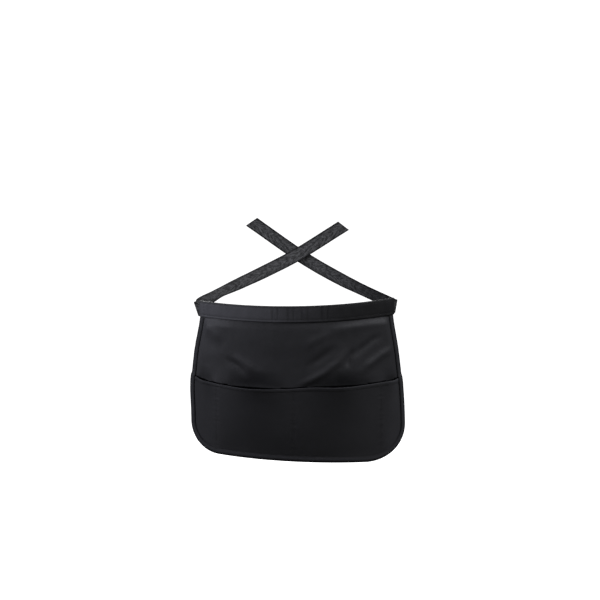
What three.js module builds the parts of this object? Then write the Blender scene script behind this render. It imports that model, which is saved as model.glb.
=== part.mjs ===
// Waist apron in its worn form: a curved cloth front with rounded lower corners,
// a sewn-on pocket layer, a folded waistband, a bound edge and two tape ties that
// turn back at the band's ends and cross behind the waist.
// Millimetres. X runs to the right as seen from the front, Y to the back, Z up.
// The origin is the middle of the waist opening, level with the band's top edge.

import * as THREE from 'three';

// Waist: the front follows a circle that bows ahead of the band's two ends.
const waistHalfWidth = 184;
const waistBow = 66;
const waistDepth = 196;

// Apron front. Its length is measured down the middle, from the band's top to the hem.
const apronLength = 300;
const bandHeight = 31;
const bandTilt = 3;
const bandRise = 2;
const hemTilt = 7;
const cornerRunLeft = 70;
const cornerRunRight = 88;
const cornerDrop = 60;

// Pocket layer, sewn down at the seams that part it into four compartments. The
// mouth rises from a share of the half width outward. It stands off over a share of
// the depth, in full where a compartment is wider than a share of the half arc.
const pocketDepth = 143;
const pocketHem = 8;
const mouthGape = 12;
const mouthDip = 0.8;
const mouthRise = 4;
const mouthRiseStart = 0.7;
const openShare = 0.8;
const wideCompartment = 0.7;

// Cloth, tape and the room between layers.
const clothWall = 1.2;
const bindingWall = 1;
const bindingWidth = 8;
const seamAllowance = 10;
const clearance = 0.3;
const hemStep = 0.6;

// Ties of woven tape.
const tieWidth = 25;
const tieThickness = 1.3;
const tieInsert = 14;
const tieTurnRadius = 2.6;
const tieTurnStandoff = 2;
const tieHem = 12;
const tieHemThickness = 2.2;
const tieSkew = 9;
const tieSkewStart = 0.8;
const tieDrop = 17.5;
const crossingRise = 68;

// Widths of the front down each side, as shares of the half arc at the band.
const outlineRows = [
  { down: 0.00, left: 1.000, right: 0.995 },
  { down: 0.11, left: 1.000, right: 0.995 },
  { down: 0.32, left: 1.070, right: 1.062 },
  { down: 0.45, left: 1.100, right: 1.095 },
  { down: 0.57, left: 1.121, right: 1.121 },
  { down: 0.75, left: 1.109, right: 1.142 },
  { down: 1.00, left: 1.103, right: 1.144 },
];

// Folds pulled down from the band's ends. Places are shares of the half arc and of
// the length. Half width and height are shares of the band's height.
const foldRows = [
  { fromAcross: 0.90, fromDown: 0.14, toAcross: 0.33, toDown: 0.22, halfWidth: 0.26, height: 0.10 },
  { fromAcross: 0.88, fromDown: 0.29, toAcross: 0.60, toDown: 0.45, halfWidth: 0.24, height: 0.10 },
  { fromAcross: 0.44, fromDown: 0.34, toAcross: 0.06, toDown: 0.47, halfWidth: 0.26, height: 0.09 },
  { fromAcross: 0.80, fromDown: 0.22, toAcross: 0.32, toDown: 0.30, halfWidth: 0.24, height: -0.08 },
  { fromAcross: 0.62, fromDown: 0.33, toAcross: 0.42, toDown: 0.46, halfWidth: 0.22, height: -0.08 },
  { fromAcross: -0.62, fromDown: 0.36, toAcross: -0.44, toDown: 0.46, halfWidth: 0.22, height: -0.07 },
  { fromAcross: -0.95, fromDown: 0.16, toAcross: -0.70, toDown: 0.24, halfWidth: 0.26, height: 0.06 },
];

// Where the folds fade out: in from a side edge as shares of the half width, below
// the band as a share of its height, and above the pocket's mouth as a share of the length.
const foldSideFrom = 0.04;
const foldSideTo = 0.14;
const foldBandTo = 1.7;
const foldMouthFrom = 0.08;

// Pocket seams, as shares of the half arc at the band.
const seamRows = [
  { name: 'left', across: -0.81 },
  { name: 'middle', across: -0.035 },
  { name: 'right', across: 0.85 },
];

// Runs of the two ties after the turn at the band's end. Across is a share of the
// waist's half width, back of half its depth, up of the rise at the crossing.
// Lean is how far the tape is rolled about its run, in degrees, its top edge back.
const leftTieRun = {
  side: -1,
  heading: 50,
  climb: 27,
  rows: [
    { across: -0.837, back: 0.10, up: 0.059, lean: 52 },
    { across: -0.587, back: 0.51, up: 0.284, lean: 37 },
    { across: -0.337, back: 0.80, up: 0.540, lean: 24 },
    { across: 0.000, back: 0.95, up: 0.980, lean: 12 },
    { across: 0.412, back: 0.97, up: 1.680, lean: 0 },
  ],
};
const rightTieRun = {
  side: 1,
  heading: 50,
  climb: 13,
  rows: [
    { across: 0.727, back: 0.26, up: 0.093, lean: -20 },
    { across: 0.477, back: 0.69, up: 0.322, lean: -6 },
    { across: 0.227, back: 0.95, up: 0.635, lean: 0 },
    { across: 0.000, back: 1.02, up: 1.003, lean: 0 },
    { across: -0.400, back: 1.03, up: 1.770, lean: 0 },
  ],
};

// Steps of the meshes.
const columnCount = 40;
const upperRowCount = 11;
const lowerRowCount = 4;
const cornerRowCount = 8;
const bandArcSteps = 4;
const bandEndSteps = 3;
const bindingArcSteps = 3;
const tieTurnSteps = 10;
const tieRunSteps = 26;

// Sizes worked out from those above.
const waistRadius = (waistHalfWidth ** 2 + waistBow ** 2) / (2 * waistBow);
const halfArc = waistRadius * Math.asin(waistHalfWidth / waistRadius);
const frontY = -waistDepth / 2;
const halfWall = clothWall / 2;
const mouthDown = 1 - pocketDepth / apronLength;
const cornerDown = 1 - cornerDrop / apronLength;
const bandDown = bandHeight / apronLength;
const pocketOffset = halfWall + clearance;

// Smooth curve through one column of a table whose rows are ordered by another.
function readTable(rows, orderColumn, column, at) {
  const last = rows.length - 1;
  const place = THREE.MathUtils.clamp(at, rows[0][orderColumn], rows[last][orderColumn]);
  let i = 0;
  while (i < last - 1 && place > rows[i + 1][orderColumn]) i += 1;
  const slope = (j) => {
    const before = rows[Math.max(j - 1, 0)];
    const after = rows[Math.min(j + 1, last)];
    return (after[column] - before[column]) / (after[orderColumn] - before[orderColumn]);
  };
  const span = rows[i + 1][orderColumn] - rows[i][orderColumn];
  const t = (place - rows[i][orderColumn]) / span;
  const startSlope = slope(i) * span;
  const endSlope = slope(i + 1) * span;
  const rise = rows[i + 1][column] - rows[i][column];
  return rows[i][column] + startSlope * t
    + (3 * rise - 2 * startSlope - endSlope) * t ** 2
    + (startSlope + endSlope - 2 * rise) * t ** 3;
}

function flatHeight(across, down) {
  const topHeight = bandTilt * across + bandRise * across ** 2;
  const hemHeight = -apronLength - hemTilt * across;
  return topHeight + down * (hemHeight - topHeight);
}

// Developed place on the front: arc length from the middle, and height.
function flatPlace(across, down) {
  const side = across < 0 ? 'left' : 'right';
  const sideArc = halfArc * readTable(outlineRows, 'down', side, Math.min(down, cornerDown));
  const cornerSine = THREE.MathUtils.clamp((down - cornerDown) / (1 - cornerDown), 0, 1);
  const cornerRun = across < 0 ? cornerRunLeft : cornerRunRight;
  const cornerInset = cornerRun * (1 - Math.sqrt(1 - cornerSine ** 2));
  return { arc: across * (sideArc - cornerInset), height: flatHeight(across, down) };
}

// A place on the waist's cylinder, set off to the outside of the cloth's middle.
function waistPoint(arc, height, offset) {
  const angle = arc / waistRadius;
  const reach = waistRadius + offset;
  return new THREE.Vector3(
    reach * Math.sin(angle),
    frontY + waistRadius - reach * Math.cos(angle),
    height,
  );
}

// How far the folds lift the cloth, fading out at the band and at the edges.
function foldLift(across, down) {
  const place = new THREE.Vector2(across * halfArc, down * apronLength);
  let lift = 0;
  for (const row of foldRows) {
    const from = new THREE.Vector2(row.fromAcross * halfArc, row.fromDown * apronLength);
    const to = new THREE.Vector2(row.toAcross * halfArc, row.toDown * apronLength);
    const run = to.clone().sub(from);
    const share = THREE.MathUtils.clamp(place.clone().sub(from).dot(run) / run.lengthSq(), 0, 1);
    const distance = from.clone().addScaledVector(run, share).distanceTo(place);
    const spread = distance / (row.halfWidth * bandHeight);
    lift += row.height * bandHeight * Math.exp(-(spread ** 2));
  }
  const edgeFade = THREE.MathUtils.smoothstep(1 - Math.abs(across), foldSideFrom, foldSideTo);
  const bandFade = THREE.MathUtils.smoothstep(down, bandDown, bandDown * foldBandTo);
  const mouthFade = 1 - THREE.MathUtils.smoothstep(down, mouthDown - foldMouthFrom, mouthDown);
  return lift * edgeFade * bandFade * mouthFade;
}

function frontPoint(across, down, offset) {
  const { arc, height } = flatPlace(across, down);
  return waistPoint(arc, height, offset + foldLift(across, down));
}

// How far the pocket layer stands off between two seams, widest at the mouth, and
// how far its mouth rises toward the sides or dips between the seams.
function pocketShape(across, down) {
  const { arc } = flatPlace(across, down);
  const edges = [
    flatPlace(-1, down).arc,
    ...seamRows.map((row) => row.across * halfArc),
    flatPlace(1, down).arc,
  ];
  let i = 0;
  while (i < edges.length - 2 && arc > edges[i + 1]) i += 1;
  const width = Math.max(edges[i + 1] - edges[i], 1);
  const share = THREE.MathUtils.clamp((arc - edges[i]) / width, 0, 1);
  const wideness = Math.min(1, width / (halfArc * wideCompartment));
  const depthShare = (down - mouthDown) / (1 - mouthDown);
  const open = Math.max(0, 1 - depthShare / openShare) ** 2;
  const fromSide = Math.min(arc - edges[0], edges[edges.length - 1] - arc);
  const sideFade = THREE.MathUtils.smoothstep(fromSide, bindingWidth, 3 * bindingWidth);
  const bulge = wideness * sideFade * Math.sin(Math.PI * share) ** 2;
  const outward = THREE.MathUtils.smoothstep(Math.abs(across), mouthRiseStart, 1);
  const rise = mouthRise * outward - mouthDip * bulge;
  return { gape: mouthGape * bulge * open, rise: rise * open ** 2 };
}

function pocketPoint(across, down, offset) {
  const { arc, height } = flatPlace(across, down);
  const { gape, rise } = pocketShape(across, down);
  return waistPoint(arc, height + rise, pocketOffset + gape + offset);
}

// A closed wall between two grids of points, an outer one and an inner one.
function closedWall(outerGrid, innerGrid) {
  const rowCount = outerGrid.length;
  const pointCount = outerGrid[0].length;
  const positions = [];
  for (const point of [...outerGrid.flat(), ...innerGrid.flat()]) {
    positions.push(point.x, point.y, point.z);
  }
  const index = [];
  const quad = (a, b, c, d) => index.push(a, b, c, a, c, d);
  const outer = (i, j) => i * pointCount + j;
  const inner = (i, j) => rowCount * pointCount + i * pointCount + j;
  for (let i = 0; i < rowCount - 1; i += 1) {
    for (let j = 0; j < pointCount - 1; j += 1) {
      quad(outer(i, j), outer(i + 1, j), outer(i + 1, j + 1), outer(i, j + 1));
      quad(inner(i, j), inner(i, j + 1), inner(i + 1, j + 1), inner(i + 1, j));
    }
    const end = pointCount - 1;
    quad(outer(i, 0), inner(i, 0), inner(i + 1, 0), outer(i + 1, 0));
    quad(outer(i, end), outer(i + 1, end), inner(i + 1, end), inner(i, end));
  }
  for (let j = 0; j < pointCount - 1; j += 1) {
    const end = rowCount - 1;
    quad(outer(0, j), outer(0, j + 1), inner(0, j + 1), inner(0, j));
    quad(outer(end, j), inner(end, j), inner(end, j + 1), outer(end, j + 1));
  }
  if (signedVolume(positions, index) < 0) index.reverse();
  const geometry = new THREE.BufferGeometry();
  geometry.setAttribute('position', new THREE.Float32BufferAttribute(positions, 3));
  geometry.setIndex(index);
  geometry.computeVertexNormals();
  return geometry;
}

function signedVolume(positions, index) {
  const corner = (i) => new THREE.Vector3().fromArray(positions, 3 * index[i]);
  let volume = 0;
  for (let i = 0; i < index.length; i += 3) {
    volume += corner(i).dot(corner(i + 1).cross(corner(i + 2))) / 6;
  }
  return volume;
}

function steps(from, to, count) {
  return Array.from({ length: count + 1 }, (_, i) => from + (to - from) * i / count);
}

function grid(rowSteps, columnSteps, pointAt) {
  return rowSteps.map((row) => columnSteps.map((column) => pointAt(row, column)));
}

const columns = steps(-1, 1, columnCount);
const hemDown = mouthDown + pocketHem / apronLength;
const cornerRows = steps(0, Math.PI / 2, cornerRowCount)
  .map((angle) => cornerDown + (1 - cornerDown) * Math.sin(angle));
const belowHem = hemDown + hemStep / apronLength;
const pocketRows = [mouthDown, hemDown, ...steps(belowHem, cornerDown, lowerRowCount)]
  .concat(cornerRows.slice(1));
const panelTop = bandDown - seamAllowance / apronLength;
const upperRows = [panelTop, ...steps(bandDown, mouthDown, upperRowCount).slice(0, -1)];
const panelRows = [...upperRows, ...pocketRows];

function frontPanel() {
  const face = (offset) => grid(panelRows, columns, (down, across) => frontPoint(across, down, offset));
  return closedWall(face(halfWall), face(-halfWall));
}

function pocketPanel() {
  const outer = grid(pocketRows, columns, (down, across) => {
    const fromSide = (1 - Math.abs(across)) * halfArc;
    const sideFade = THREE.MathUtils.smoothstep(fromSide, bindingWidth, 2 * bindingWidth);
    const turnedHem = down <= hemDown ? halfWall * sideFade : 0;
    return pocketPoint(across, down, clothWall + turnedHem);
  });
  const inner = grid(pocketRows, columns, (down, across) => pocketPoint(across, down, 0));
  return closedWall(outer, inner);
}

// Hairpin section of the band. Its ends stand wider, where each holds a tie.
function waistband() {
  const endArc = halfArc + bindingWall;
  const section = (arc, outerFace) => {
    const across = arc / endArc;
    const fromEnd = endArc - Math.abs(arc);
    const tieRoom = 1 - THREE.MathUtils.smoothstep(fromEnd, tieInsert + clothWall, 2 * tieInsert);
    const front = halfWall + clearance + tieRoom * (tieThickness + clearance);
    const back = halfWall + clearance;
    const middle = (front - back) / 2;
    const innerRadius = (front + back) / 2;
    const outerRadius = innerRadius + clothWall;
    const radius = outerFace ? outerRadius : innerRadius;
    const top = flatHeight(across, 0);
    const turn = steps(0, Math.PI, bandArcSteps).map((angle) => waistPoint(
      arc,
      top - outerRadius + radius * Math.sin(angle),
      middle + radius * Math.cos(angle),
    ));
    const bottom = flatHeight(across, bandDown);
    return [waistPoint(arc, bottom, middle + radius), ...turn, waistPoint(arc, bottom, middle - radius)];
  };
  const arcs = [
    ...steps(-endArc, -endArc + 2 * tieInsert, bandEndSteps),
    ...steps(-endArc + 2 * tieInsert, endArc - 2 * tieInsert, columnCount - 2 * bandEndSteps).slice(1, -1),
    ...steps(endArc - 2 * tieInsert, endArc, bandEndSteps),
  ];
  return closedWall(
    arcs.map((arc) => section(arc, true)),
    arcs.map((arc) => section(arc, false)),
  );
}

// Binding folded round the two sides, the corners and the hem.
function edgeBinding() {
  const startDown = bandDown + 3 * clearance / apronLength;
  const sideRows = [startDown, ...panelRows.slice(2)];
  const stations = [
    ...sideRows.map((down) => ({ across: -1, down })),
    ...columns.slice(1, -1).map((across) => ({ across, down: 1 })),
    ...sideRows.slice().reverse().map((down) => ({ across: 1, down })),
  ];
  const places = stations.map(({ across, down }) => {
    const { arc, height } = flatPlace(across, down);
    return new THREE.Vector2(arc, height);
  });
  const section = (i, outerFace) => {
    const ahead = places[Math.min(i + 1, places.length - 1)];
    const behind = places[Math.max(i - 1, 0)];
    const run = ahead.clone().sub(behind).normalize();
    const inward = new THREE.Vector2(-run.y, run.x);
    const overPocket = stations[i].down > upperRows.at(-2) ? clothWall + clearance : 0;
    const front = halfWall + clearance + overPocket;
    const back = halfWall + clearance;
    const middle = (front - back) / 2;
    const radius = (front + back) / 2 + (outerFace ? bindingWall : 0);
    const put = (inset, offset) => {
      const place = places[i].clone().addScaledVector(inward, inset);
      return waistPoint(place.x, place.y, offset);
    };
    return [
      put(bindingWidth, middle + radius),
      ...steps(0, Math.PI, bindingArcSteps)
        .map((angle) => put(-radius * Math.sin(angle), middle + radius * Math.cos(angle))),
      put(bindingWidth, middle - radius),
    ];
  };
  const indices = stations.map((_, i) => i);
  return closedWall(
    indices.map((i) => section(i, true)),
    indices.map((i) => section(i, false)),
  );
}

function mix(first, firstShare, second, secondShare) {
  return first.clone().multiplyScalar(firstShare).addScaledVector(second, secondShare);
}

// The tape leaves the band's end, turns back round a tight slanted fold and then
// follows its run. A place on it is given along, across and off its middle.
function tie({ side, heading, climb, rows }) {
  const endArc = side * (halfArc + bindingWall);
  const angle = endArc / waistRadius;
  const tieOffset = halfWall + clearance + tieThickness / 2;
  const height = flatHeight(side, 0) - tieDrop;
  const up = new THREE.Vector3(0, 0, 1);
  const outward = new THREE.Vector3(Math.sin(angle), -Math.cos(angle), 0);
  const alongBand = new THREE.Vector3(Math.cos(angle), Math.sin(angle), 0).multiplyScalar(side);
  const end = waistPoint(endArc, height, tieOffset);

  const headingAngle = THREE.MathUtils.degToRad(heading);
  const climbAngle = THREE.MathUtils.degToRad(climb);
  const leave = new THREE.Vector3(
    -side * Math.cos(headingAngle) * Math.cos(climbAngle),
    Math.sin(headingAngle) * Math.cos(climbAngle),
    Math.sin(climbAngle),
  );
  const slant = Math.atan2(leave.z, 1 - leave.dot(alongBand));
  const axis = mix(up, Math.cos(slant), alongBand, Math.sin(slant));
  const ahead = mix(alongBand, Math.cos(slant), up, -Math.sin(slant));
  const turn = Math.atan2(-leave.dot(outward), leave.dot(ahead));
  const turnStart = tieWidth / 2 * Math.sin(slant) + tieTurnStandoff;

  const foldPoint = (along, across, off) => {
    if (along < 0) return waistPoint(endArc + side * along, height + across, tieOffset + off);
    const flat = along * Math.cos(slant) - across * Math.sin(slant);
    const rise = along * Math.sin(slant) + across * Math.cos(slant);
    const turned = THREE.MathUtils.clamp((flat - turnStart) / tieTurnRadius, 0, turn);
    const radial = mix(outward, Math.cos(turned), ahead, Math.sin(turned));
    const forward = mix(ahead, Math.cos(turned), outward, -Math.sin(turned));
    return end.clone()
      .addScaledVector(axis, rise)
      .addScaledVector(ahead, turnStart)
      .addScaledVector(outward, -tieTurnRadius)
      .addScaledVector(radial, tieTurnRadius + off)
      .addScaledVector(forward, flat - turnStart - tieTurnRadius * turned);
  };
  const turnLength = (turnStart + tieTurnRadius * turn + tieWidth / 2 * Math.sin(slant)) / Math.cos(slant);

  const exit = foldPoint(turnLength, 0, 0);
  const route = new THREE.CatmullRomCurve3([
    exit,
    exit.clone().addScaledVector(leave, tieWidth / 2),
    ...rows.map((row) => new THREE.Vector3(
      row.across * waistHalfWidth,
      row.back * waistDepth / 2,
      row.up * crossingRise,
    )),
  ]);
  const frameAt = (along, lean) => {
    const upright = new THREE.Vector3(0, 1, 0).cross(along).normalize().multiplyScalar(side);
    const toBack = upright.clone().cross(along).normalize().multiplyScalar(-side);
    const across = mix(upright, Math.cos(lean), toBack, Math.sin(lean));
    const off = along.clone().cross(across).normalize().multiplyScalar(side);
    return { upright, toBack, across, off };
  };
  const exitUp = foldPoint(turnLength, 1, 0).sub(exit);
  const exitFrame = frameAt(leave, 0);
  const exitLean = Math.atan2(exitUp.dot(exitFrame.toBack), exitUp.dot(exitFrame.upright));
  const leanRows = [
    { at: 0, lean: exitLean },
    ...rows.map((row, i) => ({
      at: (i + 2) / (rows.length + 1),
      lean: THREE.MathUtils.degToRad(row.lean),
    })),
  ];

  const sections = [];
  const addSection = (pointAt, thickness) => {
    const edge = tieWidth / 2;
    sections.push([thickness / 2, -thickness / 2].map((off) => [pointAt(edge, off), pointAt(-edge, off)]));
  };
  for (const along of [-tieInsert, -tieInsert / 2, ...steps(0, turnLength, tieTurnSteps)]) {
    addSection((across, off) => foldPoint(along, across, off), tieThickness);
  }
  const runPoint = (share, beyond, skew, across, off) => {
    const along = route.getTangent(share);
    const frame = frameAt(along, readTable(leanRows, 'at', 'lean', share));
    const edgeShare = 0.5 - across / tieWidth;
    return route.getPoint(share)
      .addScaledVector(along, beyond + skew * edgeShare)
      .addScaledVector(frame.across, across)
      .addScaledVector(frame.off, off);
  };
  for (const share of steps(0, 1, tieRunSteps).slice(1)) {
    const skew = tieSkew * THREE.MathUtils.smoothstep(share, tieSkewStart, 1);
    addSection((across, off) => runPoint(share, 0, skew, across, off), tieThickness);
  }
  for (const beyond of [hemStep, tieHem - hemStep]) {
    addSection((across, off) => runPoint(1, beyond, tieSkew, across, off), tieHemThickness);
  }
  addSection((across, off) => runPoint(1, tieHem, tieSkew, across, off), tieThickness);
  return closedWall(sections.map((pair) => pair[0]), sections.map((pair) => pair[1]));
}

function piece(name, geometry, color, roughness) {
  const material = new THREE.MeshStandardMaterial({ color, roughness, metalness: 0 });
  const mesh = new THREE.Mesh(geometry, material);
  mesh.name = name;
  return mesh;
}

const apron = new THREE.Group();
apron.add(
  piece('front_panel', frontPanel(), 0x1f1f21, 0.85),
  piece('pocket_panel', pocketPanel(), 0x1c1c1e, 0.85),
  piece('waistband', waistband(), 0x202023, 0.82),
  piece('edge_binding', edgeBinding(), 0x141415, 0.9),
  piece('left_tie', tie(leftTieRun), 0x3c3c3d, 0.92),
  piece('right_tie', tie(rightTieRun), 0x3c3c3d, 0.92),
);

export default apron;
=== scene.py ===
# Black waist apron in its worn form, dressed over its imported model.
# Metres. X runs to the right as seen from the front, Y to the back, Z up.
import math

import bmesh
import bpy
from mathutils import Matrix, Vector, noise


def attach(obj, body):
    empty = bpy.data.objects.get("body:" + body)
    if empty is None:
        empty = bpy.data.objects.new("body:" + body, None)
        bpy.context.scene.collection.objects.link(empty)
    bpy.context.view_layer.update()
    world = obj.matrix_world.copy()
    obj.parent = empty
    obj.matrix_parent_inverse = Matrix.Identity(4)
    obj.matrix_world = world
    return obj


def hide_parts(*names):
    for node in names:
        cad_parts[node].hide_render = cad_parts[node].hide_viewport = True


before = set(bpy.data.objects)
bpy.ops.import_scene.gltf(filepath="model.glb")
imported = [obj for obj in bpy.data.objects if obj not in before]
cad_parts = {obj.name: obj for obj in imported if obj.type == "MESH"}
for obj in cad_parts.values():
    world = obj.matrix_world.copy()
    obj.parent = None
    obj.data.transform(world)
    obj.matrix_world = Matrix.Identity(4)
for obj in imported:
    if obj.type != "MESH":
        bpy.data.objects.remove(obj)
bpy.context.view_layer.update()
print("frame loaded")

# The cut and the worn form. Outline rows are down the length, then left and right
# half widths as shares of the half arc at the band.
apron = {
    "waistHalfWidth": 0.184,
    "waistBow": 0.066,
    "waistDepth": 0.196,
    "length": 0.300,
    "bandHeight": 0.031,
    "bandTilt": 0.003,
    "bandRise": 0.002,
    "hemTilt": 0.007,
    "cornerRunLeft": 0.070,
    "cornerRunRight": 0.088,
    "cornerDrop": 0.060,
    "pocketDepth": 0.143,
    "outline": [
        (0.00, 1.000, 0.995), (0.11, 1.000, 0.995), (0.32, 1.070, 1.062), (0.45, 1.100, 1.095),
        (0.57, 1.121, 1.121), (0.75, 1.109, 1.142), (1.00, 1.103, 1.144),
    ],
}
clothThickness = 0.0006
waistRadius = (apron["waistHalfWidth"] ** 2 + apron["waistBow"] ** 2) / (2 * apron["waistBow"])
halfArc = waistRadius * math.asin(apron["waistHalfWidth"] / waistRadius)
frontY = -apron["waistDepth"] / 2
mouthDown = 1 - apron["pocketDepth"] / apron["length"]
cornerDown = 1 - apron["cornerDrop"] / apron["length"]
bandDown = apron["bandHeight"] / apron["length"]


def clamp(value, low=0.0, high=1.0):
    return max(low, min(high, value))


def smooth(value, low, high):
    share = clamp((value - low) / (high - low))
    return share * share * (3 - 2 * share)


# 1 at no distance, falling off smoothly to nothing past about two widths.
def peak(distance, width):
    return math.exp(-(distance / width) ** 2)


# Smooth curve through one column of a table, ordered by its first column.
def readTable(rows, at, column):
    last = len(rows) - 1
    place = clamp(at, rows[0][0], rows[last][0])
    i = 0
    while i < last - 1 and place > rows[i + 1][0]:
        i += 1

    def slope(j):
        before, after = rows[max(j - 1, 0)], rows[min(j + 1, last)]
        return (after[column] - before[column]) / (after[0] - before[0])

    span = rows[i + 1][0] - rows[i][0]
    t = (place - rows[i][0]) / span
    startSlope, endSlope = slope(i) * span, slope(i + 1) * span
    rise = rows[i + 1][column] - rows[i][column]
    return (rows[i][column] + startSlope * t + (3 * rise - 2 * startSlope - endSlope) * t ** 2
            + (startSlope + endSlope - 2 * rise) * t ** 3)


def flatHeight(across, down):
    top = apron["bandTilt"] * across + apron["bandRise"] * across ** 2
    hem = -apron["length"] - apron["hemTilt"] * across
    return top + down * (hem - top)


# Place on the flat cloth: arc from the middle, and height.
def flatPlace(across, down):
    side = 1 if across < 0 else 2
    cornerRun = apron["cornerRunLeft"] if across < 0 else apron["cornerRunRight"]
    sideArc = halfArc * readTable(apron["outline"], min(down, cornerDown), side)
    cornerSine = clamp((down - cornerDown) / (1 - cornerDown))
    inset = cornerRun * (1 - math.sqrt(1 - cornerSine ** 2))
    return across * (sideArc - inset), flatHeight(across, down)


def waistPoint(arc, height, offset):
    angle = arc / waistRadius
    reach = waistRadius + offset
    return Vector((reach * math.sin(angle), frontY + waistRadius - reach * math.cos(angle), height))


def outward(arc):
    angle = arc / waistRadius
    return Vector((math.sin(angle), -math.cos(angle), 0))


def ripple(x, y, size, seed):
    return noise.noise(Vector((x / size, y / size, seed)))


# Rows of the front run evenly to the corners and then round them.
def downAt(share, top, cornerShare=0.28):
    if share < cornerShare:
        return cornerDown + (1 - cornerDown) * math.sin((1 - share / cornerShare) * math.pi / 2)
    return cornerDown + (top - cornerDown) * (share - cornerShare) / (1 - cornerShare)


# A grid whose places come from functions of its shares: on the body, flat, and a tone that
# multiplies the cloth's colour there: painted light above 1 and painted shade below 1.
def clothGrid(columns, rows, place, flat, tone=lambda u, v: 1.0, material=lambda u, v: 0):
    mesh = bmesh.new()
    bmesh.ops.create_grid(mesh, x_segments=columns, y_segments=rows, size=0.5)
    flatMap = mesh.loops.layers.uv.new("flat")
    paintedShadingLayer = mesh.verts.layers.float.new("tone")
    for face in mesh.faces:
        face.smooth = True
        middle = face.calc_center_median()
        face.material_index = material(middle.x + 0.5, middle.y + 0.5)
        for corner in face.loops:
            corner[flatMap].uv = flat(corner.vert.co.x + 0.5, corner.vert.co.y + 0.5)
    for vert in mesh.verts:
        u, v = vert.co.x + 0.5, vert.co.y + 0.5
        vert[paintedShadingLayer] = tone(u, v)
        vert.co = place(u, v)
    return mesh


def addObject(name, data):
    made = bpy.data.objects.new(name, data)
    bpy.context.scene.collection.objects.link(made)
    return made


def addMesh(name, mesh, materials):
    data = bpy.data.meshes.new(name)
    mesh.to_mesh(data)
    mesh.free()
    for material in materials:
        data.materials.append(material)
    return addObject(name, data)


# A piece of the apron: its wall, its rounded edges, its body, and the CAD node it stands for, which is
# hidden.
def finishPiece(name, mesh, materials, replaced=None, thickness=0.0, edgeRound=0.0, insideStep=0):
    piece = addMesh(name, mesh, materials)
    if thickness:
        wall = piece.modifiers.new("wall", "SOLIDIFY")
        wall.thickness = thickness
        wall.offset = 0
        wall.material_offset = insideStep
    if edgeRound:
        rounding = piece.modifiers.new("edge", "BEVEL")
        rounding.width = edgeRound
        rounding.segments = 2
        rounding.limit_method = "ANGLE"
        rounding.angle_limit = math.radians(60)
        rounding.profile = 0.5
    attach(piece, "root")
    if replaced:
        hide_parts(replaced)
    print("made", name)
    return piece


# Node helpers.
def putNode(tree, kind, sockets=None, **settings):
    made = tree.nodes.new(kind)
    for key, value in settings.items():
        setattr(made, key, value)
    for key, value in (sockets or {}).items():
        if isinstance(value, bpy.types.NodeSocket):
            tree.links.new(value, made.inputs[key])
        else:
            made.inputs[key].default_value = value
    return made


def sums(tree, operation, first, second=0.0, third=0.0, clampIt=False):
    made = putNode(tree, "ShaderNodeMath", {0: first, 1: second, 2: third},
                   operation=operation, use_clamp=clampIt)
    return made.outputs[0]


def mixColours(tree, factor, first, second):
    made = putNode(tree, "ShaderNodeMix", {"Factor": factor, 6: first, 7: second}, data_type="RGBA")
    return made.outputs[2]


def newGroup(name, inputs, outputs):
    group = bpy.data.node_groups.new(name, "ShaderNodeTree")
    for key, kind, value in inputs:
        socket = group.interface.new_socket(key, in_out="INPUT", socket_type=kind)
        if value is not None:
            socket.default_value = value
    for key in outputs:
        group.interface.new_socket(key, in_out="OUTPUT", socket_type="NodeSocketFloat")
    return group, group.nodes.new("NodeGroupInput").outputs, group.nodes.new("NodeGroupOutput").inputs


# Twill: warp yarns that float over two weft yarns, one step further in each row.
def makeTwill():
    group, given, out = newGroup(
        "twillWeave",
        [("Place", "NodeSocketVector", None), ("Yarn", "NodeSocketFloat", 0.0004),
         ("Lint", "NodeSocketFloat", 0.5)],
        ["Height", "Tone"],
    )
    repeat = 3  # yarns
    lintScale = 1400.0
    split = putNode(group, "ShaderNodeSeparateXYZ", {0: given["Place"]}).outputs
    warp = sums(group, "DIVIDE", split["X"], given["Yarn"])
    weft = sums(group, "DIVIDE", split["Y"], given["Yarn"])
    steps = sums(group, "MULTIPLY", sums(group, "ADD", warp, weft), 2 * math.pi / repeat)
    over = sums(group, "MULTIPLY_ADD", sums(group, "SINE", steps), 1.2, 0.6, clampIt=True)
    warpRound = sums(group, "ABSOLUTE", sums(group, "SINE", sums(group, "MULTIPLY", warp, math.pi)))
    weftRound = sums(group, "ABSOLUTE", sums(group, "SINE", sums(group, "MULTIPLY", weft, math.pi)))
    under = sums(group, "MULTIPLY", weftRound, sums(group, "SUBTRACT", 1.0, over))
    height = sums(group, "MULTIPLY_ADD", under, 0.6, sums(group, "MULTIPLY", warpRound, over))
    fuzz = putNode(group, "ShaderNodeTexNoise",
                   {"Vector": given["Place"], "Scale": lintScale, "Detail": 2.0})
    lint = sums(group, "MULTIPLY", sums(group, "SUBTRACT", fuzz.outputs["Fac"], 0.5), given["Lint"])
    group.links.new(sums(group, "ADD", height, lint), out["Height"])
    tone = sums(group, "ADD", sums(group, "MULTIPLY", height, 0.6), lint, clampIt=True)
    group.links.new(tone, out["Tone"])
    return group


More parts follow.
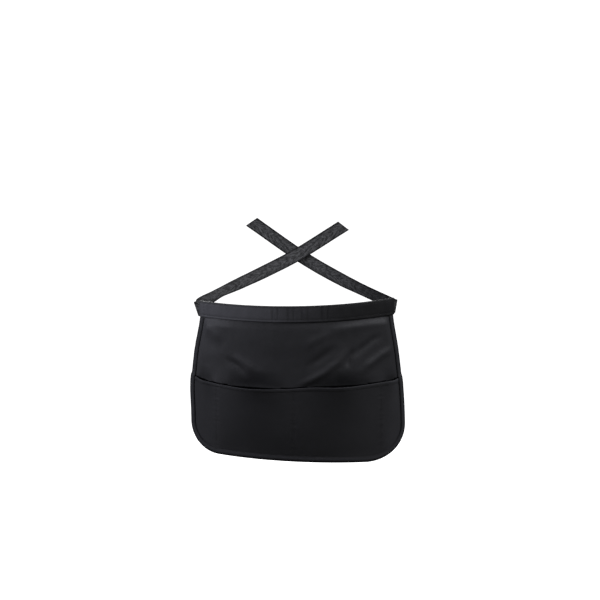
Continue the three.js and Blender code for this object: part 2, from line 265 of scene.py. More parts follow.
# Tape: ribs crossed by fine warp, long loose yarns that slant to the tape's middle
# from both sides, and a tight dark selvedge.
def makeTapeWeave():
    group, given, out = newGroup(
        "tapeWeave",
        [("Place", "NodeSocketVector", None), ("Rib", "NodeSocketFloat", 0.0013),
         ("Half Width", "NodeSocketFloat", 0.0125), ("Selvedge", "NodeSocketFloat", 0.0016),
         ("Mottle", "NodeSocketFloat", 1.5), ("Slant", "NodeSocketFloat", 0.45)],
        ["Height", "Tone", "Edge"],
    )
    yarnScale, yarnStretch, roundness = 360.0, 0.3, 0.6
    split = putNode(group, "ShaderNodeSeparateXYZ", {0: given["Place"]}).outputs
    along = sums(group, "DIVIDE", split["X"], given["Rib"])
    over = sums(group, "DIVIDE", split["Y"], given["Rib"])
    offset = sums(group, "MULTIPLY", sums(group, "FLOOR", over), 0.5)
    shifted = sums(group, "MULTIPLY", sums(group, "ADD", along, offset), math.pi)
    rib = sums(group, "ABSOLUTE", sums(group, "SINE", shifted))
    cord = sums(group, "ABSOLUTE", sums(group, "SINE", sums(group, "MULTIPLY", over, math.pi)))
    height = sums(group, "MULTIPLY", sums(group, "POWER", rib, roundness),
                  sums(group, "POWER", cord, roundness))
    fromMiddle = sums(group, "ABSOLUTE", split["Y"])
    slanted = sums(group, "ADD", fromMiddle, sums(group, "MULTIPLY", split["X"], given["Slant"]))
    drawn = putNode(group, "ShaderNodeCombineXYZ", {
        "X": sums(group, "MULTIPLY", split["X"], yarnStretch),
        "Y": slanted,
        "Z": sums(group, "MULTIPLY", split["Y"], 0.5),
    })
    yarns = putNode(group, "ShaderNodeTexNoise",
                    {"Vector": drawn.outputs[0], "Scale": yarnScale, "Detail": 2.0})
    loose = sums(group, "MULTIPLY", sums(group, "SUBTRACT", yarns.outputs["Fac"], 0.5), given["Mottle"])
    fromEdge = sums(group, "SUBTRACT", given["Half Width"], fromMiddle)
    edge = sums(group, "SUBTRACT", 1.0, sums(group, "DIVIDE", fromEdge, given["Selvedge"]), clampIt=True)
    edge = sums(group, "POWER", edge, roundness)
    group.links.new(sums(group, "ADD", height, sums(group, "MULTIPLY", loose, 0.5)), out["Height"])
    tone = sums(group, "ADD", sums(group, "MULTIPLY", height, 0.8), loose, clampIt=True)
    group.links.new(tone, out["Tone"])
    group.links.new(edge, out["Edge"])
    return group


# Broad uneven tone of dyed cloth that has been folded and handled.
def makeWornTone():
    group, given, out = newGroup("wornTone", [("Scale", "NodeSocketFloat", 22.0)], ["Tone"])
    place = putNode(group, "ShaderNodeTexCoord").outputs["Object"]
    broad = putNode(group, "ShaderNodeTexNoise", {"Vector": place, "Scale": given["Scale"], "Detail": 4.0})
    group.links.new(broad.outputs["Fac"], out["Tone"])
    return group


twillWeave, tapeWeave, wornTone = makeTwill(), makeTapeWeave(), makeWornTone()


# A cloth's finish: its weave between a shade and a light colour, painted light and shade
# from its piece's tone attribute, and a fine relief.
def makeCloth(name, finish):
    weaveInTone, weaveInGloss = 0.7, 0.1
    material = bpy.data.materials.new(name)
    material.use_nodes = True
    tree = material.node_tree
    shader = tree.nodes["Principled BSDF"]
    place = putNode(tree, "ShaderNodeUVMap", uv_map="flat").outputs[0]
    weave = putNode(tree, "ShaderNodeGroup", node_tree=finish.get("weave", twillWeave))
    tree.links.new(place, weave.inputs["Place"])
    for key, value in finish.get("weaveValues", {}).items():
        weave.inputs[key].default_value = value
    worn = putNode(tree, "ShaderNodeGroup", node_tree=wornTone)
    tone = sums(tree, "ADD", sums(tree, "MULTIPLY", weave.outputs["Tone"], weaveInTone),
                sums(tree, "MULTIPLY", worn.outputs["Tone"], finish["unevenness"]))
    colour = mixColours(tree, tone, (*finish["shade"], 1), (*finish["light"], 1))
    if "edge" in finish:
        colour = mixColours(tree, weave.outputs["Edge"], colour, (*finish["edge"], 1))
    # The tone attribute scales the colour: painted light and shade.
    if finish.get("paintedShading", True):
        paintedShading = putNode(tree, "ShaderNodeAttribute", attribute_name="tone").outputs["Fac"]
        scaled = putNode(tree, "ShaderNodeVectorMath", {0: colour, "Scale": paintedShading}, operation="SCALE")
        colour = scaled.outputs[0]
    tree.links.new(colour, shader.inputs["Base Color"])
    bump = putNode(tree, "ShaderNodeBump", {"Strength": finish["relief"], "Distance": finish["reliefDepth"],
                                            "Height": weave.outputs["Height"]})
    tree.links.new(bump.outputs[0], shader.inputs["Normal"])
    rough = sums(tree, "MULTIPLY_ADD", weave.outputs["Tone"], -weaveInGloss, finish["roughness"])
    tree.links.new(rough, shader.inputs["Roughness"])
    shader.inputs["Specular IOR Level"].default_value = finish["specular"]
    shader.inputs["Sheen Weight"].default_value = finish["sheen"]
    shader.inputs["Sheen Roughness"].default_value = 0.35
    shader.inputs["Sheen Tint"].default_value = (*finish["sheenTint"], 1)
    return material


# What the twill cloths share, and then what each has of its own.
twillFinish = {
    "unevenness": 0.2, "relief": 0.35, "reliefDepth": 0.0002, "sheen": 0.02,
    "sheenTint": (0.8, 0.82, 1.0), "weaveValues": {"Yarn": 0.0004, "Lint": 0.5},
}
panelFinish = {
    **twillFinish, "shade": (0.006, 0.006, 0.0068), "light": (0.018, 0.018, 0.0198),
    "unevenness": 0.25, "roughness": 0.62, "specular": 0.25, "sheenTint": (0.75, 0.78, 1.0),
}
panelCloth = makeCloth("panelCloth", panelFinish)
panelInside = makeCloth("panelInside", {
    **panelFinish, "roughness": 0.75, "specular": 0.15, "paintedShading": False,
})
# Near-black cloth with no gloss: painted shadow, put on the front where it shows in the gap at the pocket's
# mouth.
paintedPocketShadow = makeCloth("paintedPocketShadow", {
    **panelFinish, "shade": (0.001, 0.001, 0.001), "light": (0.003, 0.003, 0.0032),
    "roughness": 0.95, "specular": 0.0, "sheen": 0.0, "paintedShading": False,
})
pocketCloth = makeCloth("pocketCloth", {
    **twillFinish, "shade": (0.005, 0.005, 0.0056), "light": (0.016, 0.016, 0.0175),
    "unevenness": 0.22, "roughness": 0.68, "specular": 0.2,
})
# The band's light colour is raised to carry its painted light from left to right.
bandCloth = makeCloth("bandCloth", {
    **twillFinish, "shade": (0.0125, 0.0125, 0.0138), "light": (0.038, 0.038, 0.042),
    "unevenness": 0.25, "roughness": 0.6, "relief": 0.3, "specular": 0.2,
    "sheenTint": (0.78, 0.8, 1.0), "weaveValues": {"Yarn": 0.0004, "Lint": 0.4},
})
bindingCloth = makeCloth("bindingCloth", {
    **twillFinish, "shade": (0.008, 0.008, 0.0088), "light": (0.0145, 0.0145, 0.016),
    "roughness": 0.65, "specular": 0.12, "sheen": 0.01, "weaveValues": {"Yarn": 0.00034, "Lint": 0.4},
})
thread = makeCloth("thread", {
    **twillFinish, "shade": (0.005, 0.005, 0.0055), "light": (0.014, 0.014, 0.0155),
    "roughness": 0.55, "relief": 0.2, "reliefDepth": 0.0001, "specular": 0.3, "sheenTint": (0.9, 0.9, 1.0),
})
tieTape = makeCloth("tieTape", {
    "weave": tapeWeave,
    "weaveValues": {"Rib": 0.0016, "Half Width": 0.0125, "Selvedge": 0.0036, "Mottle": 3.8, "Slant": 0.4},
    "shade": (0.010, 0.010, 0.010), "light": (0.084, 0.084, 0.084), "edge": (0.003, 0.003, 0.003),
    "unevenness": 0.2, "roughness": 0.85, "relief": 0.6, "reliefDepth": 0.0004,
    "specular": 0.15, "sheen": 0.03, "sheenTint": (1.0, 1.0, 1.0),
})
print("materials made")

# Front panel. Fold rows: places along the fold, across and down as shares of the
# half arc and the length, then half width and height in metres. Painted shade and
# light are given as shares of the cloth's own colour.
frontPanel = {
    "columns": 200,
    "rows": 160,
    "topDown": (apron["bandHeight"] - 0.010) / apron["length"],  # 10 mm is inside the band
    "folds": [
        (((0.99, 0.128), (0.70, 0.130), (0.46, 0.156), (0.18, 0.200)), 0.0105, 0.0015),
        (((0.84, 0.218), (0.74, 0.240), (0.61, 0.294), (0.50, 0.350)), 0.0066, -0.0026),
        (((0.98, 0.300), (0.80, 0.345), (0.66, 0.400), (0.55, 0.470)), 0.0074, 0.0034),
        (((0.54, 0.285), (0.48, 0.346), (0.44, 0.420)), 0.0052, -0.0028),
        (((0.47, 0.280), (0.37, 0.368), (0.22, 0.445), (0.04, 0.510), (-0.08, 0.540)), 0.0070, 0.0034),
        (((0.38, 0.255), (0.23, 0.335), (0.06, 0.408)), 0.0074, -0.0026),
        (((0.34, 0.170), (0.15, 0.228), (0.05, 0.290)), 0.0074, 0.0014),
        (((-0.66, 0.350), (-0.54, 0.403), (-0.42, 0.485)), 0.0060, -0.0026),
        (((-0.60, 0.330), (-0.46, 0.386), (-0.32, 0.450)), 0.0070, 0.0016),
        (((-0.99, 0.150), (-0.84, 0.180), (-0.68, 0.260)), 0.0100, 0.0018),
        (((-0.98, 0.215), (-0.84, 0.260), (-0.72, 0.340)), 0.0100, -0.0005),
    ],
    "softWaves": 0.0012,
    "softWaveSize": 0.050,
    "fineWaves": 0.00035,
    "fineWaveSize": 0.014,
    "seamPuckers": 0.0005,
    "puckerSize": 0.006,
    "shoulder": 0.0046,
    "shoulderMiddle": 0.30,
    "shoulderSides": 0.62,
    "mouthHollow": 0.0070,
    "hollowStart": 0.10,
    # Painted shade above the mouth and under the band, painted light at the top left.
    "paintedShadeAtMouth": 0.42,
    "paintedShadeAtMouthRun": 0.019,
    "paintedShadeUnderBand": 0.45,
    "paintedShadeUnderBandRun": 0.0016,
    "paintedLightTopLeft": 0.9,
}


# How far one fold lifts the cloth at a place. It fades out toward both its ends.
def foldAt(place, points, halfWidth, height):
    nearest, along, walked = 1.0, 0.0, 0.0
    for start, end in zip(points, points[1:]):
        run = end - start
        share = clamp((place - start).dot(run) / run.length_squared)
        distance = (start + run * share - place).length
        if distance < nearest:
            nearest, along = distance, walked + share * run.length
        walked += run.length
    if nearest > 3 * halfWidth:
        return 0.0
    taper = smooth(along / walked, -0.05, 0.35) * (1 - smooth(along / walked, 0.6, 1.0))
    return height * taper * peak(nearest, halfWidth)


foldLines = [
    ([Vector((across * halfArc, down * apron["length"])) for across, down in points], halfWidth, height)
    for points, halfWidth, height in frontPanel["folds"]
]


def frontPoint(across, down, offset):
    arc, height = flatPlace(across, down)
    place = Vector((across * halfArc, down * apron["length"]))
    edgeFade = smooth(1 - abs(across), 0.03, 0.12)
    bandFade = smooth(down, bandDown, bandDown * 1.5)
    mouthFade = 1 - smooth(down, mouthDown - 0.03, mouthDown + 0.02)
    lift = sum(foldAt(place, *line) for line in foldLines)
    lift += frontPanel["softWaves"] * ripple(arc, height, frontPanel["softWaveSize"], 3.1)
    lift += frontPanel["fineWaves"] * ripple(arc, height * 0.6, frontPanel["fineWaveSize"], 8.4)
    lift *= bandFade * edgeFade * mouthFade
    underBand = peak(down - bandDown, 0.03) * smooth(down, bandDown * 0.95, bandDown * 1.1)
    puckers = frontPanel["seamPuckers"] * ripple(arc, 0.0, frontPanel["puckerSize"], 1.7)
    lift += puckers * underBand * edgeFade
    shoulder = smooth(down, bandDown, bandDown + 0.055)
    shoulder *= 1 - smooth(down, bandDown + 0.05, mouthDown - 0.06)
    shoulder *= frontPanel["shoulderMiddle"] + frontPanel["shoulderSides"] * smooth(abs(across), 0.5, 0.95)
    lift += frontPanel["shoulder"] * shoulder * edgeFade
    compartment = pocketShape(across, max(down, mouthDown))[2]
    hollow = smooth(down, mouthDown - frontPanel["hollowStart"], mouthDown + 0.01)
    hollow *= 1 - smooth(down, 0.60, 0.85)
    lift -= frontPanel["mouthHollow"] * hollow * compartment
    return waistPoint(arc, height, offset + lift)


# Rows of the front near the mouth follow its line.
def frontDown(u, v):
    down = downAt(v, frontPanel["topDown"])
    mouthRise = pocketShape(2 * u - 1, mouthDown)[1]
    return down - mouthRise / apron["length"] * peak(down - mouthDown, 0.05)


# Painted shade on the front just above the pocket's mouth, where the pocket's shadow falls,
# and where it comes out from under the band; painted light at its top left, the flank turned to the light.
def frontPaintedShading(u, v):
    down = downAt(v, frontPanel["topDown"])
    across = 2 * u - 1
    belowMouth = (down - mouthDown) * apron["length"]
    belowBand = (down - bandDown) * apron["length"]
    compartment = pocketShape(across, mouthDown)[2]
    near = frontPanel["paintedShadeAtMouth"] * smooth(belowMouth, -frontPanel["paintedShadeAtMouthRun"], -0.002)
    near *= smooth(compartment, 0, 0.25)
    underBand = frontPanel["paintedShadeUnderBand"] * peak(belowBand, frontPanel["paintedShadeUnderBandRun"])
    topLeft = frontPanel["paintedLightTopLeft"] * (1 - smooth(across, -0.99, -0.60))
    topLeft *= 1 - smooth(down, bandDown, mouthDown)
    return (1 - near) * (1 - underBand) * (1 + topLeft)


# Behind the pocket, and for a millimetre or two above its mouth, the front takes the
# near-black painted shadow cloth.
def frontMaterial(u, v):
    panelFace, paintedShadowFace = 0, 2
    compartment = pocketShape(2 * u - 1, mouthDown)[2]
    darkHeight = 0.0022 - 0.0018 * smooth(compartment, 0.1, 0.6)
    aboveMouth = (mouthDown - downAt(v, frontPanel["topDown"])) * apron["length"]
    return paintedShadowFace if aboveMouth < darkHeight else panelFace


# Pocket layer: sewn down at its seams, open at its mouths, with a turned hem.
pocketLayer = {
    "columns": 220,
    "rows": 100,
    "seams": (-0.81, -0.035, 0.85),
    "hem": 0.0055,
    "hemTurn": 0.0006,
    "hemLineInset": 0.001,
    "turnShare": 0.90,
    "foldShare": 0.93,
    "hemShare": 0.97,
    "gape": 0.013,
    "dip": 0.0008,
    "rise": 0.004,
    "riseStart": 0.7,
    "openShare": 0.8,
    "wideCompartment": 0.7,
    "leftSag": 0.0048,
    "standOff": 0.0016,
    "seamPuckers": 0.0005,
    "puckerSize": 0.006,
    "softWaves": 0.0008,
    "softWaveSize": 0.045,
    "seamDent": 0.0003,
    "tone": 0.92,
    # Painted highlight, shade and light, as shares of the cloth's colour:
    "paintedHighlightAtMouth": 0.6,
    "paintedShadeAtHemLine": 0.35,
    "paintedShadeAtSeams": 0.3,
    "paintedLightLeft": 0.42,
    "paintedLightRight": 0.6,
    "paintedShadeLow": 0.48,
}


# How far the pocket gapes and rises at a place, and how far inside a compartment that is.
def pocketShape(across, down):
    arc, height = flatPlace(across, down)
    seams = [seam * halfArc for seam in pocketLayer["seams"]]
    edges = [flatPlace(-1, down)[0], *seams, flatPlace(1, down)[0]]
    i = 0
    while i < len(edges) - 2 and arc > edges[i + 1]:
        i += 1
    width = max(edges[i + 1] - edges[i], 0.001)
    wideness = min(1, width / (halfArc * pocketLayer["wideCompartment"]))
    depthShare = (down - mouthDown) / (1 - mouthDown)
    opened = max(0, 1 - depthShare / pocketLayer["openShare"]) ** 2
    fromSide = min(arc - edges[0], edges[-1] - arc)
    bulge = wideness * smooth(fromSide, 0.008, 0.024)
    bulge *= math.sin(math.pi * clamp((arc - edges[i]) / width)) ** 2
    toSide = smooth(abs(across), pocketLayer["riseStart"], 1)
    sag = smooth(arc / halfArc, -1.08, -0.74) * (1 - smooth(arc / halfArc, -0.12, 0.22))
    rise = pocketLayer["rise"] * toSide - pocketLayer["dip"] * bulge - pocketLayer["leftSag"] * sag
    return pocketLayer["gape"] * bulge * opened, rise * opened ** 2, bulge


def seamDistance(arc):
    return min(abs(arc - seam * halfArc) for seam in pocketLayer["seams"])


def pocketPoint(across, down, offset):
    arc, height = flatPlace(across, down)
    gape, rise, bulge = pocketShape(across, down)
    edgeFade = smooth(1 - abs(across), 0.04, 0.12) * smooth(1 - down, 0.02, 0.10)
    fromSeam = seamDistance(arc)
    free = smooth(fromSeam, 0.002, 0.025)
    waves = pocketLayer["softWaves"] * ripple(arc, height, pocketLayer["softWaveSize"], 5.5)
    waves *= edgeFade * free
    sewn = edgeFade * smooth(down - mouthDown, 0.01, 0.05)
    nearSeam = peak(fromSeam, 0.007)
    pucker = pocketLayer["seamPuckers"] * ripple(0.0, height, pocketLayer["puckerSize"], arc)
    pucker *= nearSeam * sewn
    dent = -pocketLayer["seamDent"] * peak(fromSeam, 0.002) * sewn
    return waistPoint(arc, height + rise, pocketLayer["standOff"] + gape + waves + pucker + dent + offset)


# Up the outside to the mouth, over its fold and down inside to the hem's raw edge.
def pocketRow(share):
    turnShare, hemShare = pocketLayer["turnShare"], pocketLayer["hemShare"]
    hemDrop = pocketLayer["hem"] / apron["length"]
    if share < turnShare:
        spread = share / turnShare
        down = downAt(spread, mouthDown)
        swell = pocketLayer["hemTurn"] * smooth(mouthDown + hemDrop - down, 0, 0.002)
        return down, swell, 0.0
    if share < hemShare:
        angle = math.pi * (share - turnShare) / (hemShare - turnShare)
        return mouthDown, pocketLayer["hemTurn"] * math.cos(angle), pocketLayer["hemTurn"] * math.sin(angle)
    inside = (share - hemShare) / (1 - hemShare)
    return mouthDown + hemDrop * inside, -pocketLayer["hemTurn"], 0.0


def pocketPlace(u, v):
    down, swell, up = pocketRow(v)
    place = pocketPoint(2 * u - 1, down, swell)
    place.z += up
    return place


def pocketFlat(u, v):
    down, swell, up = pocketRow(v)
    arc, height = flatPlace(2 * u - 1, down)
    if v >= pocketLayer["foldShare"]:
        height = 2 * flatHeight(2 * u - 1, mouthDown) - height
    return arc, height


# Painted light and shade on the pocket: a painted highlight along the mouth's rolled edge, painted shade in
# the hem's stitch line and at the seams, painted light at both flanks, and painted shade low in the middle.
def pocketPaintedShading(u, v):
    down, swell, up = pocketRow(v)
    fromMouth = (down - mouthDown) * apron["length"]
    arc = flatPlace(2 * u - 1, down)[0]
    fromHemLine = fromMouth - pocketLayer["hem"] + pocketLayer["hemLineInset"]
    paintedMouthHighlight = pocketLayer["paintedHighlightAtMouth"] * peak(fromMouth, 0.0020)
    groove = pocketLayer["paintedShadeAtHemLine"] * peak(fromHemLine, 0.0014)
    seam = pocketLayer["paintedShadeAtSeams"] * peak(seamDistance(arc), 0.0016)
    leftSeam, rightSeam = pocketLayer["seams"][0] * halfArc, pocketLayer["seams"][-1] * halfArc
    outer = pocketLayer["paintedLightLeft"] * (1 - smooth(arc, leftSeam - 0.002, leftSeam + 0.012))
    outer += pocketLayer["paintedLightRight"] * smooth(arc, rightSeam, halfArc)
    low = pocketLayer["paintedShadeLow"] * smooth(down, 0.66, 0.95) * (1 - smooth(abs(u - 0.42), 0.20, 0.45))
    return (1 + paintedMouthHighlight - groove - seam) * (pocketLayer["tone"] + outer) * (1 - low)


front = finishPiece(
    "apronFront",
    clothGrid(frontPanel["columns"], frontPanel["rows"],
              lambda u, v: frontPoint(2 * u - 1, frontDown(u, v), 0.0),
              lambda u, v: flatPlace(2 * u - 1, frontDown(u, v)), frontPaintedShading, frontMaterial),
    [panelCloth, panelInside, paintedPocketShadow, panelInside], "front_panel", clothThickness,
    insideStep=1)
pocket = finishPiece(
    "pocketLayer",
    clothGrid(pocketLayer["columns"], pocketLayer["rows"], pocketPlace, pocketFlat, pocketPaintedShading),
    [pocketCloth], "pocket_panel", clothThickness)

# Waistband: folded over the top of the front, with the ties held in its ends.
waistBand = {
    "columns": 230,
    "rows": 44,
    "endRoom": 0.001,
    "tieRoom": 0.0012,
    "tieInsert": 0.014,
    "standOff": 0.0018,
    "puff": 0.0003,
    "waves": 0.0005,
    "sewnRises": (0.90, 0.15),
    "sewnDepth": 0.0003,
    "puckers": [(-0.235, 0.0022), (-0.185, 0.0026), (-0.085, 0.0030), (-0.035, 0.0020), (0.045, 0.0022),
                (0.100, 0.0024), (0.235, 0.0030), (0.290, 0.0022)],
    "puckerDepth": 0.0010,
    "faceShare": 0.44,
    "faceTop": 0.95,
    "flatShare": 2.1,
    # Painted light along the band's front, left to right, then painted shade and highlight:
    "paintedLightAlong": [(0.00, 1.66), (0.15, 1.56), (0.30, 1.60), (0.50, 0.94), (0.70, 0.28),
              (0.85, 0.12), (1.00, 0.12)],
    "paintedShadeAtFold": 0.85,
    "paintedShadeAtSeams": 0.3,
    "paintedHighlightLowEdge": 0.25,
    "paintedShadeAtEnds": 0.35,
    "paintedShadeInPuckers": 0.35,
    "paintedShadeAtRawEdge": 0.75,
}
bandEndArc = halfArc + waistBand["endRoom"]


# Offsets of the band's front and back face at one place along it, and its height there.
def bandFaces(arc, rise):
    across = arc / bandEndArc
    fromEnd = bandEndArc - abs(arc)
    holdsTie = 1 - smooth(fromEnd, waistBand["tieInsert"] + 0.001, 2 * waistBand["tieInsert"])
    top, bottom = flatHeight(across, 0), flatHeight(across, bandDown)
    puff = waistBand["puff"] * math.sin(math.pi * clamp(rise)) ** 0.7
    wrinkle = waistBand["waves"] * ripple(arc, rise * 0.012, 0.011, 2.2)
    for at, halfWidth in waistBand["puckers"]:
        lean = 0.002 * (rise - 0.5) * math.sin(at * 90)
        wrinkle -= waistBand["puckerDepth"] * peak(arc - at * halfArc - lean, halfWidth)
    wrinkle *= math.sin(math.pi * clamp(rise)) ** 0.6
    groove = sum(peak(rise - at, 0.045) for at in waistBand["sewnRises"])
    groove *= waistBand["sewnDepth"]
    frontFace = waistBand["standOff"] + waistBand["tieRoom"] * holdsTie + puff + wrinkle - groove
    backFace = -waistBand["standOff"] - 0.5 * puff + groove
    return frontFace, backFace, bottom + (top - bottom) * rise


# Section: up the front face, over the fold at the top and down the back face.
def bandPlace(u, v):
    faceShare, faceTop = waistBand["faceShare"], waistBand["faceTop"]
    arc = (2 * u - 1) * bandEndArc
    if v < faceShare:
        offset, backFace, height = bandFaces(arc, v / faceShare * faceTop)
    elif v > 1 - faceShare:
        frontFace, offset, height = bandFaces(arc, (1 - v) / faceShare * faceTop)
    else:
        frontFace, backFace, height = bandFaces(arc, faceTop)
        top = flatHeight(arc / bandEndArc, 0)
        angle = math.pi * (v - faceShare) / (1 - 2 * faceShare)
        offset = (frontFace + backFace) / 2 + (frontFace - backFace) / 2 * math.cos(angle)
        height += (top - height) * math.sin(angle)
    return waistPoint(arc, height, offset)


def bandFlat(u, v):
    return (2 * u - 1) * bandEndArc, v * waistBand["flatShare"] * apron["bandHeight"]


# Painted light and shade on the band: painted shade at the top fold, the stitching, the ends, the puckers
# and the raw edges, a painted highlight along the low edge, and its table of painted light from left to
# right, which is for the front face alone.
def bandPaintedShading(u, v):
    faceShare = waistBand["faceShare"]
    arc = (2 * u - 1) * bandEndArc
    fromFold = abs(v - 0.5)
    rise = (0.5 - fromFold) / faceShare * waistBand["faceTop"]
    fold = 1 - waistBand["paintedShadeAtFold"] * peak(fromFold, 0.072)
    groove = sum(peak(rise - at, 0.035) for at in waistBand["sewnRises"])
    groove *= waistBand["paintedShadeAtSeams"]
    lowEdge = waistBand["paintedHighlightLowEdge"] * peak(rise - 0.07, 0.03)
    end = 1 - waistBand["paintedShadeAtEnds"] * smooth(abs(2 * u - 1), 0.985, 1)
    outside = readTable(waistBand["paintedLightAlong"], u, 1)
    paintedShading = outside + (1 - outside) * smooth(v, faceShare, 1 - faceShare)
    paintedPuckerShade = sum(peak(arc - at * halfArc, halfWidth) for at, halfWidth in waistBand["puckers"])
    paintedPuckerShade *= waistBand["paintedShadeInPuckers"] * math.sin(math.pi * clamp(rise)) ** 0.5
    rawEdge = waistBand["paintedShadeAtRawEdge"] * smooth(fromFold, 0.476, 0.498)
    return fold * end * paintedShading * (1 - paintedPuckerShade) * (1 - groove + lowEdge) * (1 - rawEdge)


band = finishPiece(
    "waistBand", clothGrid(waistBand["columns"], waistBand["rows"], bandPlace, bandFlat, bandPaintedShading),
    [bandCloth], "waistband", clothThickness, 0.0002)

# Binding folded round the two sides, the corners and the hem.
edgeTape = {
    "stepsAlong": 420,
    "stepsOver": 28,
    "width": 0.0092,
    "thickness": 0.0006,
    "standOff": 0.0013,
    "pocketStandOff": 0.0018,
    "ripple": 0.0003,
    "puff": 0.0007,
    "startDown": bandDown + 0.003,
    "faceShare": 0.36,
    "flatShare": 2.2,
    "stitchInset": 0.0015,
}


# The edge as one line: down the left side, along the hem and up the right side.
def edgeLine():
    sideDowns = [downAt(1 - i / 100, edgeTape["startDown"]) for i in range(101)]
    stations = [(-1, down) for down in sideDowns]
    stations += [(-1 + 2 * i / 80, 1.0) for i in range(1, 80)]
    stations += [(1, down) for down in reversed(sideDowns)]
    line = [Vector((*flatPlace(across, down), down)) for across, down in stations]
    lengths = [0.0]
    for before, after in zip(line, line[1:]):
        lengths.append(lengths[-1] + (after.xy - before.xy).length)
    even, i = [], 0
    count = edgeTape["stepsAlong"]
    for step in range(count + 1):
        at = lengths[-1] * step / count
        while i < len(line) - 2 and lengths[i + 1] < at:
            i += 1
        even.append(line[i].lerp(line[i + 1], clamp((at - lengths[i]) / (lengths[i + 1] - lengths[i]))))
    return even, lengths[-1]


edgePlaces, edgeLength = edgeLine()


def edgeFrame(share):
    at = clamp(share) * (len(edgePlaces) - 1)
    i = min(int(at), len(edgePlaces) - 2)
    place = edgePlaces[i].lerp(edgePlaces[i + 1], at - i)
    ahead = edgePlaces[min(i + 2, len(edgePlaces) - 1)]
    behind = edgePlaces[max(i - 1, 0)]
    run = (ahead.xy - behind.xy).normalized()
    return place, Vector((-run.y, run.x))


def edgePoint(share, inset, offset):
    place, inward = edgeFrame(share)
    flat = place.xy + inward * inset
    return waistPoint(flat.x, flat.y, offset)


# Offsets of the binding's front and back face. The front one steps out over the pocket.
def edgeFaces(share):
    place, inward = edgeFrame(share)
    overPocket = edgeTape["pocketStandOff"] * smooth(place.z, mouthDown - 0.045, mouthDown - 0.02)
    wave = edgeTape["ripple"] * ripple(share * edgeLength, 0.0, 0.011, 6.1)
    return edgeTape["standOff"] + overPocket + wave, -edgeTape["standOff"] + wave


# Section: from the back's inner edge out round the apron's edge to the front's.
def edgePlace(u, v):
    faceShare = edgeTape["faceShare"]
    frontFace, backFace = edgeFaces(u)
    if v < faceShare or v > 1 - faceShare:
        inset = 1 - min(v, 1 - v) / faceShare
        puff = edgeTape["puff"] * math.sin(math.pi * inset)
        return edgePoint(u, edgeTape["width"] * inset, backFace - puff if v < 0.5 else frontFace + puff)
    angle = math.pi * (v - faceShare) / (1 - 2 * faceShare)
    radius = (frontFace - backFace) / 2
    return edgePoint(u, -radius * math.sin(angle), (frontFace + backFace) / 2 - radius * math.cos(angle))


# Painted shade on the binding's outer fold and along its inner edge, and a painted highlight on its puffed
# ridge.
def edgePaintedShading(u, v):
    face = abs(2 * v - 1)  # 0 at the outer fold, 1 at the inner edges
    outer = 0.15 + 0.85 * smooth(face, 0.24, 0.44)
    ridge = 1 + 0.8 * smooth(face, 0.38, 0.56) * (1 - smooth(face, 0.68, 0.88))
    return outer * ridge * (1 - 0.6 * smooth(face, 0.88, 0.98))


binding = finishPiece(
    "edgeBinding",
    clothGrid(edgeTape["stepsAlong"], edgeTape["stepsOver"], edgePlace,
              lambda u, v: (u * edgeLength, v * edgeTape["flatShare"] * edgeTape["width"]), edgePaintedShading),
    [bindingCloth], "edge_binding", edgeTape["thickness"], 0.0002)

# Ties. Run rows: across, back and up as shares of the waist's half width, its half
# depth and the crossing's rise, then how far the tape leans, in degrees.
tieTapes = {
    "width": 0.025,
    "thickness": 0.0011,
    "insert": 0.014,
    "turnRadius": 0.0026,
    "turnStandOff": 0.002,
    "hem": 0.012,
    "hemRadius": 0.0007,
    "skew": 0.009,
    "skewStart": 0.8,
    "drop": 0.0175,
    "crossingRise": 0.068,
    "offset": 0.00155,
    "heading": 50,
    "limp": 0.0006,
    "limpSize": 0.022,
    # Painted shade at the tip's fold; each tie's painted shade at the band and in the middle follows.
    "paintedShadeAtTip": 0.5,
    "bendShare": 0.93,
    "hemShare": 0.96,
    "columns": 16,
    "rows": 260,
    "left": {
        "side": -1,
        "climb": 27,
        "paintedShadeAtBand": 0.26,
        "paintedShadeMiddle": 0.14,
        "run": [(-0.837, 0.10, 0.059, 52), (-0.587, 0.51, 0.284, 37), (-0.337, 0.80, 0.540, 24),
                (0.000, 0.95, 0.980, 12), (0.412, 0.97, 1.680, 0)],
    },
    "right": {
        "side": 1,
        "climb": 13,
        "paintedShadeAtBand": 0.55,
        "paintedShadeMiddle": 0.0,
        "run": [(0.727, 0.26, 0.093, -20), (0.477, 0.69, 0.322, -6), (0.227, 0.95, 0.635, 0),
                (0.000, 1.02, 1.003, 0), (-0.400, 1.03, 1.770, 0)],
    },
}


# Smooth curve through points, its speed eased by the gaps between them.
def curvePoint(points, share):
    last = len(points) - 1
    place = clamp(share) * last
    i = min(int(place), last - 1)
    t = place - i
    p1, p2 = points[i], points[i + 1]
    p0 = points[i - 1] if i > 0 else p1 * 2 - p2
    p3 = points[i + 2] if i + 2 <= last else p2 * 2 - p1
    d0, d1, d2 = [math.sqrt((b - a).length) for a, b in ((p0, p1), (p1, p2), (p2, p3))]
    t1 = ((p1 - p0) / d0 - (p2 - p0) / (d0 + d1) + (p2 - p1) / d1) * d1
    t2 = ((p2 - p1) / d1 - (p3 - p1) / (d1 + d2) + (p3 - p2) / d2) * d1
    return p1 + t1 * t + (p2 * 3 - p1 * 3 - t1 * 2 - t2) * t ** 2 + (p1 * 2 - p2 * 2 + t1 + t2) * t ** 3


